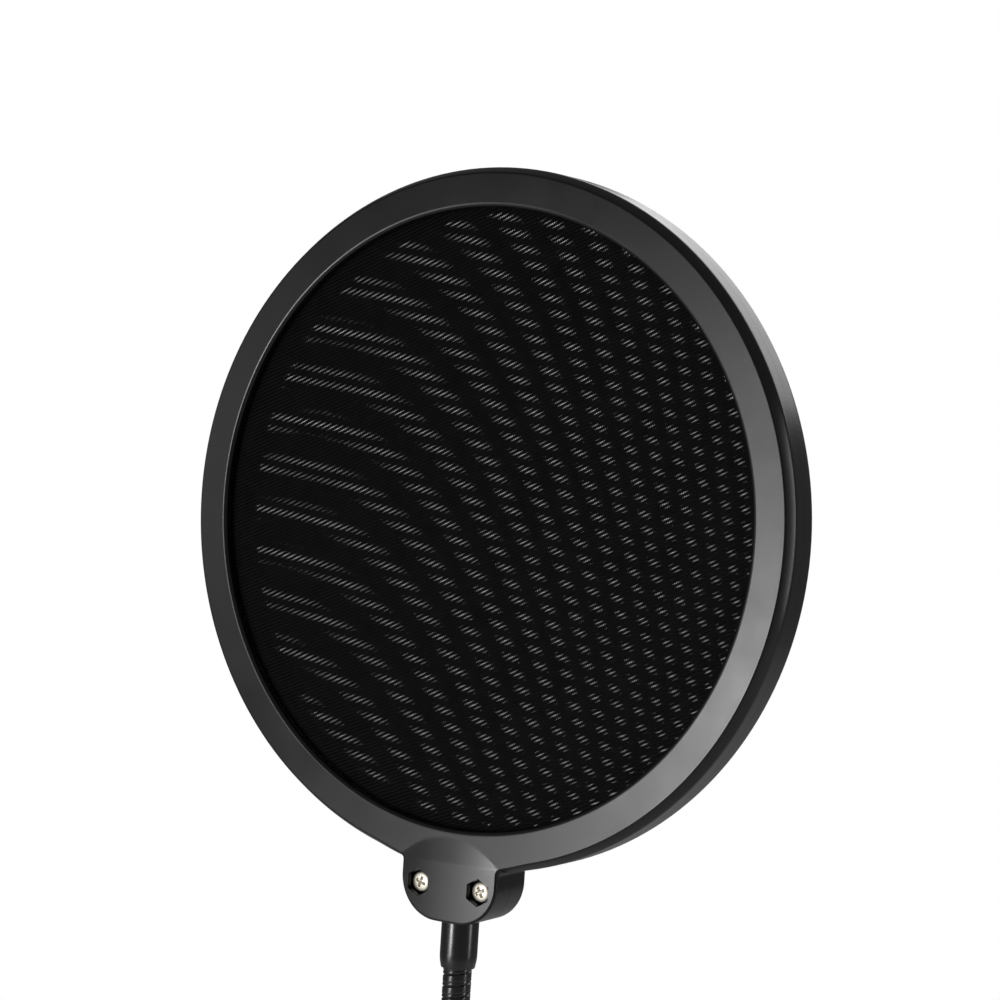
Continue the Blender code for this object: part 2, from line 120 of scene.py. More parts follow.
def new_piece(name, points, faces, sharp, merge=True):
    """Object at the origin from points and faces. Doubles at poles and seams are merged, unless it is
    many separate shells, and the whole is turned to face outwards by the sign of its volume."""
    mesh = bpy.data.meshes.new(name + "_form")
    mesh.from_pydata(points.tolist(), [], faces)
    shell = bmesh.new()
    shell.from_mesh(mesh)
    if merge:
        bmesh.ops.remove_doubles(shell, verts=shell.verts, dist=SAME)
        bmesh.ops.dissolve_degenerate(shell, edges=shell.edges, dist=SAME / 10)
        bmesh.ops.recalc_face_normals(shell, faces=shell.faces)
    if shell.calc_volume(signed=True) < 0:
        bmesh.ops.reverse_faces(shell, faces=shell.faces)
    shell.to_mesh(mesh)
    shell.free()
    mesh.validate()
    shade(mesh, sharp)
    obj = bpy.data.objects.new(name + "_form", mesh)
    bpy.context.scene.collection.objects.link(obj)
    return obj


def build(name, grids, sharp=32):
    """Piece from grids of points[row, column, xyz], each given as (points, rows wrap, columns wrap),
    and True after them if its first and last row each get one face."""
    points, faces, count = [], [], 0
    for block, wrap_rows, wrap_columns, *capped in grids:
        rows, columns = block.shape[:2]
        faces += quads(rows, columns, wrap_rows, wrap_columns, count).tolist()
        if capped:
            last = count + (rows - 1) * columns
            faces += [list(range(count, count + columns)), list(range(last, last + columns))]
        points.append(block.reshape(-1, 3))
        count += rows * columns
    return new_piece(name, np.concatenate(points), faces, sharp)


def shade(mesh, sharp):
    """Smooth shading with creases where faces meet at more than sharp degrees."""
    mesh.polygons.foreach_set("use_smooth", np.ones(len(mesh.polygons), bool))
    mesh.set_sharp_from_angle(angle=math.radians(sharp))


def finish(obj, material, slot, body, *nodes):
    """Gives a piece its material, seats it on its body and lets it stand for CAD nodes; slot is not used."""
    obj.data.materials.clear()
    obj.data.materials.append(material)
    if body is not None:
        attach(obj, body)
    if nodes:
        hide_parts(*nodes)


def cut(obj, cutters, sharp):
    """Takes each cutter out of obj, bakes the result into its mesh and removes the cutters."""
    for cutter in cutters:
        step = obj.modifiers.new("Cut", "BOOLEAN")
        step.operation = "DIFFERENCE"
        step.solver = "EXACT"
        step.object = cutter
    bpy.context.view_layer.update()
    done = bpy.data.meshes.new_from_object(obj.evaluated_get(bpy.context.evaluated_depsgraph_get()))
    done.name = obj.name
    obj.modifiers.clear()
    obj.data = done
    shade(done, sharp)
    for cutter in cutters:
        bpy.data.objects.remove(cutter)


def rounded(profile, reach, closed=False):
    """Profile whose corners became short curves: each is the handle of a quadratic curve that starts
    and ends up to reach from it along its two sides, and never past 0.45 of a side."""
    corner = np.array(profile, float)
    reach = np.broadcast_to(np.asarray(reach, float), len(corner)).copy()
    if not closed:
        reach[[0, -1]] = 0
    arms = []
    for step in (1, -1):
        side = np.roll(corner, step, axis=0) - corner
        length = np.maximum(np.linalg.norm(side, axis=1), 1e-9)
        arms.append(corner + side * (np.minimum(reach, 0.45 * length) / length)[:, None])
    t = np.linspace(0, 1, 5)[None, :, None]
    start, handle, end = arms[0][:, None], corner[:, None], arms[1][:, None]
    curve = ((1 - t) ** 2 * start + 2 * t * (1 - t) * handle + t ** 2 * end).reshape(-1, 2)
    moved = np.linalg.norm(curve - np.roll(curve, 1, axis=0), axis=1) > 1e-8
    moved[0] = True if not closed else moved[0]
    return curve[moved]


def angles(steps):
    """Even angles once round, as one row."""
    return np.arange(steps)[None] * TAU / steps


def turned(rows, steps=64, place=(0, 0, 0), along="z"):
    """Points of rows of (radius, height) carried once round an axis through place; each is a number, or
    values for every angle, or a table of such values. Along y the height runs towards +Y."""
    level = np.zeros((1, steps))
    pairs = [np.broadcast_arrays(r + level, height + level) for r, height in rows]
    r, height = [np.concatenate(part) for part in zip(*pairs)]
    side = [r * np.cos(angles(steps)), r * np.sin(angles(steps))]
    order = [*side, height] if along == "z" else [side[0], height, side[1]]
    return np.stack(order, axis=-1) + np.array(place, float)


def round_piece(name, profile, reach=0.0, steps=64, place=(0, 0, 0), along="z", closed=True, sharp=32):
    """Turned piece; closed says that the profile is a loop that stays off the axis."""
    return build(name, [(turned(rounded(profile, reach, closed), steps, place, along), closed, True)],
                 sharp=sharp)


def hexagon(angle, corner_r, turn=0.0):
    """Radius of a hexagon with that corner radius in each direction; a corner points along turn."""
    flat = corner_r * math.cos(math.pi / 6)
    return flat / np.cos((angle - turn) % (TAU / 6) - TAU / 12)


def hex_nut(name, corner_r, bore, low, high, place=(0, 0, 0), along="z", turn=0.0):
    """Hexagon nut: flats to the corners, both rims chamfered at 30 degrees as a cone cuts them, and a
    countersunk bore. Rows go from the bore out over a face, up the flats and back."""
    steps = 96
    six = hexagon(angles(steps), corner_r, turn)
    cone = 0.96 * corner_r * math.cos(math.pi / 6)
    drop = (six - cone) * math.tan(math.pi / 6)
    sink = 0.25 * MM
    rows = [(bore, low + sink), (bore + sink, low), (cone, low), (six, low + drop), (six, high - drop),
            (cone, high), (bore + sink, high), (bore, high - sink)]
    return build(name, [(turned(rows, steps, place, along), True, True)], sharp=25)


# ------------------------------------------------------------------ materials
NOISE_LOW, NOISE_HIGH = 0.3, 0.7                    # most of a noise lies between these


def linear(hex_colour):
    """sRGB hex colour as linear red, green, blue and alpha 1."""
    channels = [int(hex_colour[i:i + 2], 16) / 255 for i in (1, 3, 5)]
    return [c / 12.92 if c <= 0.04045 else ((c + 0.055) / 1.055) ** 2.4 for c in channels] + [1.0]


def node(material, kind, inputs=None, **settings):
    """Adds one shader node: settings are its properties, inputs its values or the sockets it takes."""
    made = material.node_tree.nodes.new("ShaderNode" + kind)
    for key, value in settings.items():
        setattr(made, key, value)
    for key, value in (inputs or {}).items():
        if isinstance(value, bpy.types.NodeSocket):
            material.node_tree.links.new(value, made.inputs[key])
        else:
            made.inputs[key].default_value = value
    return made


def mottled(name, tones, gloss=None, relief=None, stretch=(1, 1, 1), **values):
    """Material whose colour, roughness and relief each follow a noise on the object.

    tones are (dark, light, size, detail), gloss (lowest roughness, highest, size, detail) and relief
    (depth, size, detail): sizes are those of the noise's features, and stretch is how many times finer
    gloss and relief are along x, y and z. values are constant sockets, by name with _ for space."""
    material = bpy.data.materials.new(name)
    material.use_nodes = True
    shader = material.node_tree.nodes["Principled BSDF"]
    for key, value in values.items():
        shader.inputs[key.replace("_", " ")].default_value = value
    where = node(material, "TexCoord").outputs["Object"]
    drawn = node(material, "Mapping", {"Vector": where, "Scale": stretch}).outputs["Vector"]
    noises = []
    for place, pattern in ((where, tones), (drawn, gloss), (drawn, relief)):
        if pattern:
            inputs = {"Vector": place, "Scale": 1 / pattern[-2], "Detail": pattern[-1]}
            noises.append(node(material, "TexNoise", inputs).outputs["Fac"])
    spread = {"From Min": NOISE_LOW, "From Max": NOISE_HIGH}
    mixed = node(material, "MapRange", {"Value": noises[0], **spread}).outputs["Result"]
    ends = {"Factor": mixed, "A": linear(tones[0]), "B": linear(tones[1])}
    links = material.node_tree.links
    links.new(node(material, "Mix", ends, data_type="RGBA").outputs["Result"], shader.inputs["Base Color"])
    if gloss:
        limits = {"Value": noises[1], "To Min": gloss[0], "To Max": gloss[1], **spread}
        links.new(node(material, "MapRange", limits).outputs["Result"], shader.inputs["Roughness"])
    if relief:
        bump = node(material, "Bump", {"Height": noises[2], "Distance": relief[0]})
        links.new(bump.outputs["Normal"], shader.inputs["Normal"])
    return material


# Black ABS moulded against a spark-eroded tool: a fine pebble blurs reflections into soft grey
# gradients, with slow waves of gloss where the melt cooled unevenly. The ring's is nearly polished,
# the knob's satin, and the clamp's and the spacer's pebble is coarser.
RING_ABS = mottled("satin_ring_abs", ("#0e0f12", "#131417", 9 * MM, 2), (0.22, 0.28, 14 * MM, 3),
                   (0.004 * MM, 0.22 * MM, 3), IOR=1.53)
CLAMP_ABS = mottled("textured_clamp_abs", ("#111112", "#18181a", 9 * MM, 2), (0.43, 0.49, 14 * MM, 3),
                    (0.05 * MM, 0.45 * MM, 3), IOR=1.53)
KNOB_ABS = mottled("satin_knob_abs", ("#101011", "#161618", 9 * MM, 2), (0.37, 0.43, 14 * MM, 3),
                   (0.03 * MM, 0.30 * MM, 3), IOR=1.53)
SPACER_ABS = mottled("matt_spacer_abs", ("#0e0e0f", "#131314", 9 * MM, 2), (0.49, 0.55, 14 * MM, 3),
                     (0.04 * MM, 0.35 * MM, 3), IOR=1.53)
# Steel under gloss black lacquer: near black with clean bands where the lamps mirror, broken a little
# by rubbed marks round the turns.
NECK_STEEL, FERRULE_STEEL = [
    mottled(name, ("#0b0b0d", "#111114", 1.2 * MM, 2), (0.21, 0.28, 0.9 * MM, 3),
            (0.002 * MM, 0.9 * MM, 3), stretch=(1, 1, 6), IOR=1.52, Specular_IOR_Level=0.9)
    for name in ("lacquered_winding", "lacquered_ferrule")]
# Zinc-plated steel: pale metal with a faint warm cast, slightly cloudy, which softens its highlights.
BRIGHT = mottled("bright_zinc_steel", ("#e9e2d2", "#fbf6ea", 1.6 * MM, 2), (0.34, 0.46, 0.35 * MM, 3),
                 (0.003 * MM, 0.35 * MM, 3), Metallic=1.0)
# Zinc die casting under thin black paint: satin, with the shallow orange peel of the spray.
PLATE_ZINC = mottled("painted_zinc_casting", ("#1c1c1e", "#27272a", 3 * MM, 2),
                     (0.30, 0.40, 5 * MM, 2), (0.02 * MM, 0.8 * MM, 2), IOR=1.5)
# Moulded nitrile rubber: flat black that takes no clear reflection, dusty in patches.
RUBBER = mottled("jaw_rubber", ("#121212", "#1f1f20", 2.5 * MM, 4), (0.74, 0.88, 4 * MM, 2),
                 (0.03 * MM, 0.3 * MM, 3), IOR=1.5, Specular_IOR_Level=0.3)
# Woven black nylon: dull, near-black thread that keeps the gaps between the threads the brightest
# thing in the cloth.
NYLON = mottled("woven_black_nylon", ("#0b0b0d", "#101012", 6 * MM, 2), (0.50, 0.62, 2 * MM, 2),
                (0.01 * MM, 0.12 * MM, 2), IOR=1.53, Specular_IOR_Level=0.06)


# ------------------------------------------------------------------ camera
def close_camera():
    """Close view from the right and a touch above, rolled a little, centred near the ring.

    The camera sits distance back from the ring's front centre along azimuth and elevation; its own
    right and up are turned by roll, and it is shifted by a few millimetres along them."""
    azimuth, elevation, roll = math.radians(32.27), math.radians(1.47), math.radians(3.55)
    distance, shift_right, shift_up = 0.527, -6.48 * MM, -4.16 * MM
    right = Vector((math.cos(azimuth), math.sin(azimuth), 0))
    back = Vector((math.sin(azimuth) * math.cos(elevation),
                   -math.cos(azimuth) * math.cos(elevation), math.sin(elevation)))
    up = back.cross(right)
    across = right * math.cos(roll) + up * math.sin(roll)
    upright = up * math.cos(roll) - right * math.sin(roll)
    data = bpy.data.cameras.new("camera")
    data.sensor_width = 36
    data.lens = 86.4
    data.clip_start = 0.01
    data.clip_end = 50
    camera = bpy.data.objects.new("camera", data)
    bpy.context.scene.collection.objects.link(camera)
    place = Vector((0, -HALF_DEPTH, HEAD_Z)) + back * distance - across * shift_right - upright * shift_up
    turn = Matrix((across, upright, back)).transposed().to_4x4()
    camera.matrix_world = Matrix.Translation(place) @ turn
    bpy.context.scene.camera = camera


# ------------------------------------------------------------------ filter head
def smooth(low, high, value):
    """0 below low, 1 above high, with a soft S between."""
    t = np.clip((value - low) / (high - low), 0, 1)
    return t * t * (3 - 2 * t)


def face_depth(x, z):
    """Distance from the parting plane to a ring half's outer face: level on the rim; the tab is a
    shallow barrel that rises from the rim's face inside a parabolic arch and falls to its sides.

    The arch's half width squared grows evenly downwards and eases into its last value, and the
    barrel's height over the face is in proportion to that square less x squared."""
    sink = (ARCH_TOP - z) / ARCH_DROP
    eased = sink - 0.12 * np.clip(sink - 0.6, 0, 1.2) ** 2
    arch = ARCH_HALF ** 2 * np.clip(eased, 0, 1)
    return HALF_DEPTH + BARREL_RISE * np.maximum(arch - x ** 2, 0) / ARCH_HALF ** 2


def arc(centre, radius, start, end, count):
    """Points on an arc between two angles in degrees, and their directions from its centre."""
    angle = np.radians(np.linspace(start, end, count))
    way = np.stack([np.cos(angle), np.sin(angle)], axis=-1)
    return np.array(centre) + radius * way, way


def ring_outline():
    """Outline of a ring half from the front, (x, z) from the ring's centre, with inward directions:
    the rim's circle, a fillet, the tab's side, its round corner and its foot, then mirrored."""
    reach = RING_R + TAB_FILLET
    notch_x = TAB_HALF + TAB_FILLET
    notch = (notch_x, -math.sqrt(reach ** 2 - notch_x ** 2))
    meet = math.degrees(math.atan2(notch[1], notch[0]))
    rim, rim_out = arc((0, 0), RING_R, 90, meet + 4, 92)
    close, close_out = arc((0, 0), RING_R, meet + 3.6, meet, 8)
    fillet, fillet_out = arc(notch, TAB_FILLET, meet + 180, 180, 9)
    corner_at = (TAB_HALF - TAB_CORNER, TAB_CORNER - TAB_DROP)
    side_z = np.linspace(notch[1], corner_at[1], 7)[1:-1]
    side = np.stack([0 * side_z + TAB_HALF, side_z], axis=-1)
    corner, corner_out = arc(corner_at, TAB_CORNER, 0, -90, 26)
    foot_x = np.linspace(corner_at[0], 0, 5)[1:]
    foot = np.stack([foot_x, 0 * foot_x - TAB_DROP], axis=-1)
    points = np.concatenate([rim, close, fillet[1:], side, corner, foot])
    inward = np.concatenate([-rim_out, -close_out, fillet_out[1:], side * 0 + (-1, 0), -corner_out,
                             foot * 0 + (0, 1)])
    mirror = np.array([-1, 1])
    return (np.concatenate([points, points[-2:0:-1] * mirror]),
            np.concatenate([inward, inward[-2:0:-1] * mirror]))


def bend(start, handle, end, steps):
    """Rows of a quadratic curve from start to end with one handle, without its first point."""
    t = np.linspace(0, 1, steps + 1)[1:, None]
    return (1 - t) ** 2 * start + 2 * t * (1 - t) * handle + t ** 2 * end


def ring_points(side):
    """One ring half as a closed grid; side is -1 in front and 1 behind.

    Rows run from the parting plane over the rim wall and its bevel, then along straight lines towards
    the centre over the face, round the lip, and back by the seat and the channel. The bevel is long on
    the rim and small on the tab, and both of its corners are short quadratic curves."""
    outline, inward = ring_outline()
    on_rim = smooth(-77.6 * MM, -74.5 * MM, outline[:, 1])
    bevel_in, bevel_deep = [tab + (rim - tab) * on_rim for rim, tab in zip(RIM_TAPER, TAB_EDGE)]
    crown_in = bevel_in + CROWN_RUN
    crown = outline + inward * crown_in[:, None]
    face_level = face_depth(crown[:, 0], crown[:, 1])
    wall_top = face_level - bevel_deep
    none = 0 * bevel_in
    wall_end = wall_top - WALL_RUN
    wall = [none + PARTING, none + PARTING + 0.12 * MM, none + 1.4 * MM, none + 2.6 * MM, wall_end]
    edge_in = np.concatenate([np.zeros((len(wall), len(none))),
                              bend(none, none, 0.18 * bevel_in, 5),
                              bend(0.85 * bevel_in, bevel_in, crown_in, 6)])
    edge_level = np.concatenate([wall, bend(wall_end, wall_top, wall_top + 0.18 * bevel_deep, 5),
                                 bend(wall_top + 0.85 * bevel_deep, face_level, face_level, 6)])
    edge = outline + inward * edge_in[..., None]
    away = crown / np.linalg.norm(crown, axis=-1, keepdims=True)
    lip_start = LIP_R + LIP_EDGE[0]
    face_rows = 60
    part = np.linspace(0, 1, face_rows + 1)[1:, None, None]
    face = crown + (away * lip_start - crown) * part
    lip_turn = np.linspace(0, math.pi / 2, 7)[1:, None]
    lip_r = lip_start - LIP_EDGE[0] * np.sin(lip_turn)
    lip_level = HALF_DEPTH - LIP_EDGE[1] * (1 - np.cos(lip_turn))
    inner_r = np.concatenate([lip_r, [[LIP_R], [CHANNEL_R], [CHANNEL_R]]])[..., None]
    inner_level = np.concatenate([lip_level, [[SEAT], [SEAT], [PARTING]]]) + none
    flat = np.concatenate([edge, face, away * inner_r])
    level = np.concatenate([edge_level, face_depth(face[..., 0], face[..., 1]), inner_level])
    return np.stack([flat[..., 0], side * level, flat[..., 1] + HEAD_Z], axis=-1)


def pocket_cutter(x, side):
    """Hexagonal pocket for a screw head in front or a nut behind, corner up, a little wider outside."""
    floor, face, out = (3.5 if side < 0 else 2.4) * MM, 5.8 * MM, 8 * MM
    steps = 48
    six = hexagon(angles(steps), HEX_R, math.pi / 2)
    rows = [(0, floor), (six, floor), (six, face - 0.2 * MM), (1.07 * six, face + 0.25 * MM),
            (1.07 * six, out), (0, out)]
    points = turned([(r, side * level) for r, level in rows], steps, (x, 0, BOLT_Z), "y")
    return build("pocket_cutter", [(points, False, True)])


def channel_cutter():
    """Hollow for the neck's anchor: a stepped bore up the middle of the tab."""
    wall, flange, base = 4.2 * MM, 5.1 * MM, TAB_FOOT
    profile = [(0, base + 14.4 * MM), (wall, base + 14.4 * MM), (wall, base + 8.9 * MM),
               (flange, base + 8.9 * MM), (flange, base + 5.7 * MM), (wall, base + 5.7 * MM),
               (wall, base - 2 * MM), (0, base - 2 * MM)]
    return round_piece("channel_cutter", profile, 0, 48, closed=False)


def ring_half(name, side):
    shell = build(name, [(ring_points(side), True, True)], sharp=38)
    cutters = [channel_cutter()]
    for x in (-BOLT_X, BOLT_X):
        cutters.append(pocket_cutter(x, side))
        bore = [(0, -8 * MM), (1.45 * MM, -8 * MM), (1.45 * MM, 8 * MM), (0, 8 * MM)]
        cutters.append(round_piece("bore_cutter", bore, 0, 32, (x, 0, BOLT_Z), "y", closed=False))
    cut(shell, cutters, sharp=38)
    finish(shell, RING_ABS, "moulding", "head", name)


def stretch_of(flat):
    """Sideways pull in the rear cloth, growing to the right and downwards, in metres."""
    x, z = flat[..., 0] / MM, flat[..., 1] / MM
    return (-0.00045 * x ** 2 + 0.00020 * x * z) * MM


def threads(direction, pitch, width, thick, centre_y, pull):
    """Parallel threads across a round frame, points[thread, station, corner].

    Thread k lies k pitches off the centre along one direction; a slow pull bends it within the plane.
    Its ends are found by halving until they lie on the frame's circle. Its section is a hexagon."""
    way = np.array([math.cos(direction), math.sin(direction)])
    off = np.array([-way[1], way[0]])
    pull_way = np.array([math.cos(PULL_WAY), math.sin(PULL_WAY)])

    def path(base, s):
        flat = base + s[..., None] * way
        return flat + stretch_of(flat)[..., None] * pull * pull_way

    count = int(SCREEN_R / pitch) + 4
    base = (np.arange(-count, count + 1)[:, None] + 0.5) * pitch * off
    kept = np.linalg.norm(path(base, np.zeros(len(base))), axis=-1) < SCREEN_R - 0.6 * MM
    base = base[kept]
    ends = []
    for sign in (-1, 1):
        near, far = np.zeros(len(base)), np.full(len(base), 1.6 * SCREEN_R)
        for _ in range(36):
            half = (near + far) / 2
            inside = np.linalg.norm(path(base, sign * half), axis=-1) < SCREEN_R
            near, far = np.where(inside, half, near), np.where(inside, far, half)
        ends.append(sign * near)
    part = np.linspace(0, 1, 15)[None]
    line = path(base[:, None], ends[0][:, None] * (1 - part) + ends[1][:, None] * part)
    along = np.gradient(line, axis=1)
    along /= np.linalg.norm(along, axis=-1, keepdims=True)
    across = np.stack([-along[..., 1], along[..., 0]], axis=-1)
    corner_a = np.array([1, 0.7, -0.7, -1, -0.7, 0.7]) * width / 2
    corner_y = np.array([0, 1, 1, 0, -1, -1]) * thick / 2
    flat = line[:, :, None] + across[:, :, None] * corner_a[:, None]
    level = np.broadcast_to(centre_y + corner_y, flat.shape[:3])
    return np.stack([flat[..., 0], level, flat[..., 1] + HEAD_Z], axis=-1)


def screen(name, y, families, pull):
    """Cloth of two families of threads, each (direction in degrees, pitch, share of the pitch that the
    thread covers, thickness), drawn as coarse as it has to be to show; one family lies on the other."""
    points, faces, count = [], [], 0
    apart = sum(family[3] for family in families) / 2
    for place, (direction, pitch, cover, thick) in zip((-0.5, 0.5), families):
        block = threads(math.radians(direction), pitch, pitch * cover, thick, y + place * apart, pull)
        number, stations, corners = block.shape[:3]
        start = count + np.arange(number)[:, None] * stations * corners
        body = start + quads(stations, corners, False, True).reshape(1, -1)
        caps = [start + np.arange(corners)[::-1], start + (stations - 1) * corners + np.arange(corners)]
        faces += body.reshape(-1, 4).tolist() + np.concatenate(caps).tolist()
        points.append(block.reshape(-1, 3))
        count += number * stations * corners
    cloth = new_piece(name, np.concatenate(points), faces, sharp=80, merge=False)
    finish(cloth, NYLON, "mesh", "head", name)


def pan_screw(name, x, turn):
    """Pan-head screw seen from the front: a low dome with a cross recess, over a plain shank.

    The top is a height over (radius, angle): the dome less a cross of two slots with sloping walls."""
    head_r, shank_r = span(name, "x")[1] - x, 1.15 * MM
    seat, tip = span(name, "y")[0] + 1.5 * MM, span(name, "y")[1]
    steps, slot_half, slot_reach = 96, 0.24 * MM, 1.12 * MM
    r = np.linspace(0, 1, 40)[:, None] ** 0.9 * head_r
    u, v = r * np.cos(angles(steps) + turn), r * np.sin(angles(steps) + turn)
    dome = 1.05 * MM + 0.45 * MM * np.sqrt(np.clip(1 - (r / (head_r * 1.04)) ** 2, 0, 1))
    deep = 0.95 * MM * (1 - 0.45 * r / (1.3 * MM))
    slots = [(1 - smooth(slot_half, slot_half + 0.12 * MM, np.abs(a)))
             * (1 - smooth(slot_reach, slot_reach + 0.18 * MM, np.abs(b))) for a, b in ((u, v), (v, u))]
    top = dome - deep * np.maximum(*slots)
    stem = [(head_r, seat - 0.35 * MM), (head_r, seat), (shank_r, seat), (shank_r, tip - 0.3 * MM),
            (shank_r - 0.3 * MM, tip), (0, tip)]
    rows = [(r, seat - top), *rounded(stem, 0.12 * MM)]
    piece = build(name, [(turned(rows, steps, (x, 0, BOLT_Z), "y"), False, True)], sharp=50)
    finish(piece, BRIGHT, "bright_steel", "head", name)


def filter_head():
    ring_half("front_ring", -1)
    ring_half("rear_ring", 1)
    half = span("screen_spacer", "y")[1]
    hoop = [(70.2 * MM, half), (74.0 * MM, half), (74.0 * MM, -half), (70.2 * MM, -half)]
    hoop_piece = round_piece("screen_spacer", hoop, 0.4 * MM, 160, (0, 0, HEAD_Z), "y")
    finish(hoop_piece, SPACER_ABS, "spacer", "head", "screen_spacer")
    front_y = sum(span("front_screen", "y")) / 2
    rear_y = sum(span("rear_screen", "y")) / 2
    flat, full = 0.06 * MM, 0.17 * MM
    screen("front_screen", front_y, ((22.4, 0.79 * MM, 0.70, flat), (-67.6, 0.50 * MM, 0.68, full)), 0)
    screen("rear_screen", rear_y, ((31.6, 1.013 * MM, 0.70, flat), (-66.9, 0.4775 * MM, 0.68, full)), 1)
    for sign, tag, turn in ((-1, "left", 0.35), (1, "right", 1.05)):
        pan_screw("tab_screw_" + tag, sign * BOLT_X, turn)
        low, high = span("tab_nut_" + tag, "y")
        nut = hex_nut("tab_nut_" + tag, 2.7 * MM, 1.35 * MM, low, high, (sign * BOLT_X, 0, BOLT_Z), "y",
                      math.pi / 2)
        finish(nut, BRIGHT, "bright_steel", "head", "tab_nut_" + tag)


# ------------------------------------------------------------------ neck
def winding(height, angle):
    """Outer radius of the wound neck: flat turns with a narrow groove that climbs one turn a round, and
    a shallow second groove a third of a turn above it, where the inner wire shows between the turns."""
    place = (height / TURN - angle / TAU) % 1
    deep, shallow = [np.exp(-(((place - at + 0.5) % 1 - 0.5) / width) ** 2)
                     for at, width in ((0.5, 0.055), (0.84, 0.04))]
    return NECK_R - 0.26 * MM * deep - 0.10 * MM * shallow


def neck_skin(number, low, high, nodes):
    """One length of the gooseneck round a hinge: the wound outside, flat ends and a plain bore."""
    steps, rows_a_turn = 40, 24
    rows = int(round((high - low) / TURN * rows_a_turn)) + 1
    height = np.linspace(low, high, rows)[:, None]
    wall = [(winding(height, angles(steps)), height), (NECK_BORE, np.linspace(high, low, 15)[:, None])]
    skin = build("neck_skin_%02d" % number, [(turned(wall, steps), True, True)], sharp=60)
    finish(skin, NECK_STEEL, "neck_steel", None, *nodes)
    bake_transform(skin)


def gooseneck():
    """The neck from the clamp's ferrule to the head's, one skin for each hinge."""
    foot, top = span("neck_foot", "z")[0], span("neck_top", "z")[1]
    last = len(HINGE_Z)
    for k in range(1, last + 1):
        low = foot if k == 1 else HINGE_Z[k - 1] - LINK / 2
        high = top if k == last else HINGE_Z[k - 1] + LINK / 2
        nodes = ["neck_top"] if k == last else ["neck_link_%02d" % k]
        nodes += ["neck_foot"] if k == 1 else []
        neck_skin(k, low, high, nodes)


def ferrules():
    low, high = span("upper_ferrule", "z")
    web = low + 6.5 * MM
    upper = [(2.6 * MM, high), (4.2 * MM, high), (4.2 * MM, low + 2.0 * MM), (3.8 * MM, low),
             (3.5 * MM, low), (3.5 * MM, web), (2.6 * MM, web)]
    reach = [0.14 * MM, 0.14 * MM, 1.2 * MM] + [0.14 * MM] * 4
    piece = round_piece("upper_ferrule", upper, reach, 72, sharp=60)
    finish(piece, FERRULE_STEEL, "ferrule_steel", "head", "upper_ferrule")
    base, rim = span("lower_ferrule", "z")
    lower = [(3.5 * MM, rim), (4.2 * MM, rim), (4.4 * MM, base + 4.0 * MM), (6.5 * MM, base + 2.2 * MM),
             (6.5 * MM, base), (3.3 * MM, base), (3.3 * MM, base + 3.7 * MM), (3.5 * MM, base + 3.7 * MM)]
    piece = round_piece("lower_ferrule", lower, [0.15 * MM] * 2 + [1.6 * MM, 0.5 * MM] + [0.15 * MM] * 4,
                        72, sharp=60)
    finish(piece, FERRULE_STEEL, "ferrule_steel", "clamp", "lower_ferrule")
    base = TAB_FOOT
    anchor = [(0, base + 14.0 * MM), (3.9 * MM, base + 14.0 * MM), (3.9 * MM, base + 8.5 * MM),
              (4.8 * MM, base + 8.5 * MM), (4.8 * MM, base + 6.1 * MM), (3.9 * MM, base + 6.1 * MM),
              (3.9 * MM, base + 0.3 * MM), (2.3 * MM, base + 0.3 * MM), (2.3 * MM, base - 4.9 * MM),
              (0, base - 4.9 * MM)]
    piece = round_piece("neck_anchor", anchor, 0.2 * MM, 64, closed=False)
    finish(piece, BRIGHT, "bright_steel", "head", "neck_anchor")


# ------------------------------------------------------------------ clamp
def clamp_outline():
    """C shape in (y, z), open towards -Y, with its inward directions: straight arms and spine joined
    by arcs, each point spaced so that edges bend smoothly."""
    front, root, back = -20 * MM, 16 * MM, 25 * MM
    top, under = span("clamp_body", "z")[1], 1.2 * MM
    low_top, low_under = -44 * MM, span("clamp_body", "z")[0]
    outer, inner, nose = 9 * MM, 4 * MM, 3 * MM
    arcs = [arc((front + nose, under + nose), nose, 270, 180, 7),
            arc((front + nose, top - nose), nose, 180, 90, 7),
            arc((back - outer, top - outer), outer, 90, 0, 13),
            arc((back - outer, low_under + outer), outer, 0, -90, 13),
            arc((front + 2 * nose, low_under + nose), nose, 270, 180, 7),
            arc((front + 2 * nose, low_top - nose), nose, 180, 90, 7)]
    throat = [arc((root - inner, low_top + inner), inner, -90, 0, 9),
              arc((root - inner, under - inner), inner, 0, 90, 9)]
    points = np.concatenate([a[0] for a in arcs + throat])
    inward = np.concatenate([-a[1] for a in arcs] + [a[1] for a in throat])
    return points, inward


